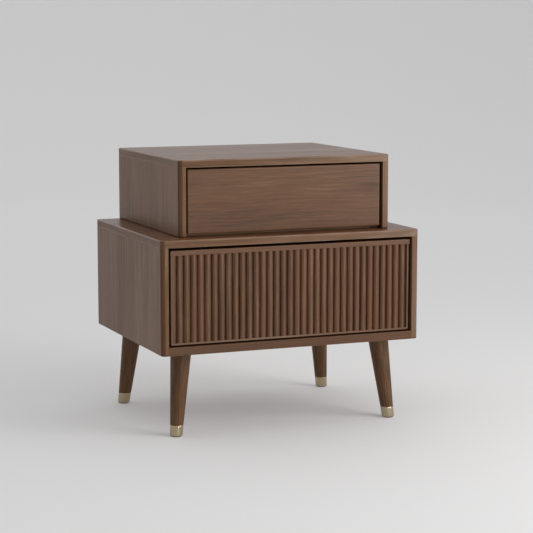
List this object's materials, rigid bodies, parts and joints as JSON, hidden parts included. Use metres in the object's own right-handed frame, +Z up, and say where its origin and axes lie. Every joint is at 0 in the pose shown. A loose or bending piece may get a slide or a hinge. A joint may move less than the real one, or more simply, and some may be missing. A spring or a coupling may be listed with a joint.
{
  "type": "nightstand",
  "caption": "Stacked two-box nightstand in walnut with a plain upper drawer, a fluted lower drawer and splayed tapered legs with brass ferrules.",
  "frame": {"origin": "on the floor, under the middle of the lower box", "axes": "+Z up, +X to the right of someone facing the drawer fronts, the fronts face -Y"},
  "size_m": [0.6, 0.46, 0.593],
  "materials": {
    "walnut": "satin lacquered walnut veneer, carcass boards",
    "walnut_front": "satin lacquered walnut veneer, drawer fronts",
    "walnut_edge": "satin lacquered edge strip, slightly paler",
    "leg_wood": "dark stained turned wood, semi gloss",
    "brass": "pale brushed brass",
    "steel": "zinc plated steel",
    "black_plastic": "moulded, matte",
    "box_wood": "plain plywood and board, matte lacquer"
  },
  "bodies": {
    "carcass": {"ferrule_back_left": "brass", "ferrule_back_right": "brass", "ferrule_front_left": "brass", "ferrule_front_right": "brass", "glide_back_left": "black_plastic", "glide_back_right": "black_plastic", "glide_front_left": "black_plastic", "glide_front_right": "black_plastic", "joining_screw_left": "steel", "joining_screw_right": "steel", "leg_back_left": "leg_wood", "leg_back_right": "leg_wood", "leg_front_left": "leg_wood", "leg_front_right": "leg_wood", "lower_back_panel": "box_wood", "lower_bottom_panel": "walnut", "lower_latch_housing": "black_plastic", "lower_latch_spring": "steel", "lower_left_runner_cabinet": "steel", "lower_left_side": "walnut", "lower_right_runner_cabinet": "steel", "lower_right_side": "walnut", "lower_top_panel": "walnut", "stud_back_left": "steel", "stud_back_right": "steel", "stud_front_left": "steel", "stud_front_right": "steel", "upper_back_panel": "box_wood", "upper_bottom_panel": "box_wood", "upper_latch_housing": "black_plastic", "upper_latch_spring": "steel", "upper_left_runner_cabinet": "steel", "upper_left_side": "walnut", "upper_right_runner_cabinet": "steel", "upper_right_side": "walnut", "upper_top_panel": "walnut"},
    "upper_drawer": {"upper_drawer_back": "box_wood", "upper_drawer_bottom": "box_wood", "upper_drawer_front": "walnut_front", "upper_drawer_left_side": "box_wood", "upper_drawer_right_side": "box_wood", "upper_left_runner_drawer": "steel", "upper_right_runner_drawer": "steel"},
    "lower_drawer": {"lower_drawer_back": "box_wood", "lower_drawer_bottom": "box_wood", "lower_drawer_core": "walnut", "lower_drawer_edge_strip": "walnut_edge", "lower_drawer_fluted_sheet": "walnut_front", "lower_drawer_left_side": "box_wood", "lower_drawer_right_side": "box_wood", "lower_drawer_top_rail": "walnut_front", "lower_left_runner_drawer": "steel", "lower_right_runner_drawer": "steel"},
    "lower_plunger": {"lower_latch_plunger": "black_plastic"},
    "lower_left_middle_runner": {"lower_left_runner_middle": "steel"},
    "lower_right_middle_runner": {"lower_right_runner_middle": "steel"},
    "upper_plunger": {"upper_latch_plunger": "black_plastic"},
    "upper_left_middle_runner": {"upper_left_runner_middle": "steel"},
    "upper_right_middle_runner": {"upper_right_runner_middle": "steel"}
  },
  "joints": [
    {"name": "upper_drawer_slide", "type": "slide", "parent": "carcass", "child": "upper_drawer", "axis": [0, -1, 0], "range_m": [-0.003, 0.3]},
    {"name": "upper_left_middle_slide", "type": "slide", "parent": "carcass", "child": "upper_left_middle_runner", "axis": [0, -1, 0], "range_m": [-0.0015, 0.15]},
    {"name": "upper_right_middle_slide", "type": "slide", "parent": "carcass", "child": "upper_right_middle_runner", "axis": [0, -1, 0], "range_m": [-0.0015, 0.15]},
    {"name": "upper_plunger_push", "type": "slide", "parent": "carcass", "child": "upper_plunger", "axis": [0, 1, 0], "range_m": [0, 0.003], "stiffness_N_per_m": 600, "springref_m": -0.001},
    {"name": "lower_drawer_slide", "type": "slide", "parent": "carcass", "child": "lower_drawer", "axis": [0, -1, 0], "range_m": [-0.003, 0.3]},
    {"name": "lower_left_middle_slide", "type": "slide", "parent": "carcass", "child": "lower_left_middle_runner", "axis": [0, -1, 0], "range_m": [-0.0015, 0.15]},
    {"name": "lower_right_middle_slide", "type": "slide", "parent": "carcass", "child": "lower_right_middle_runner", "axis": [0, -1, 0], "range_m": [-0.0015, 0.15]},
    {"name": "lower_plunger_push", "type": "slide", "parent": "carcass", "child": "lower_plunger", "axis": [0, 1, 0], "range_m": [0, 0.003], "stiffness_N_per_m": 600, "springref_m": -0.001}
  ],
  "couplings": [
    {"joint": "upper_left_middle_slide", "follows": "upper_drawer_slide", "ratio": 0.5},
    {"joint": "upper_right_middle_slide", "follows": "upper_drawer_slide", "ratio": 0.5},
    {"joint": "lower_left_middle_slide", "follows": "lower_drawer_slide", "ratio": 0.5},
    {"joint": "lower_right_middle_slide", "follows": "lower_drawer_slide", "ratio": 0.5}
  ]
}
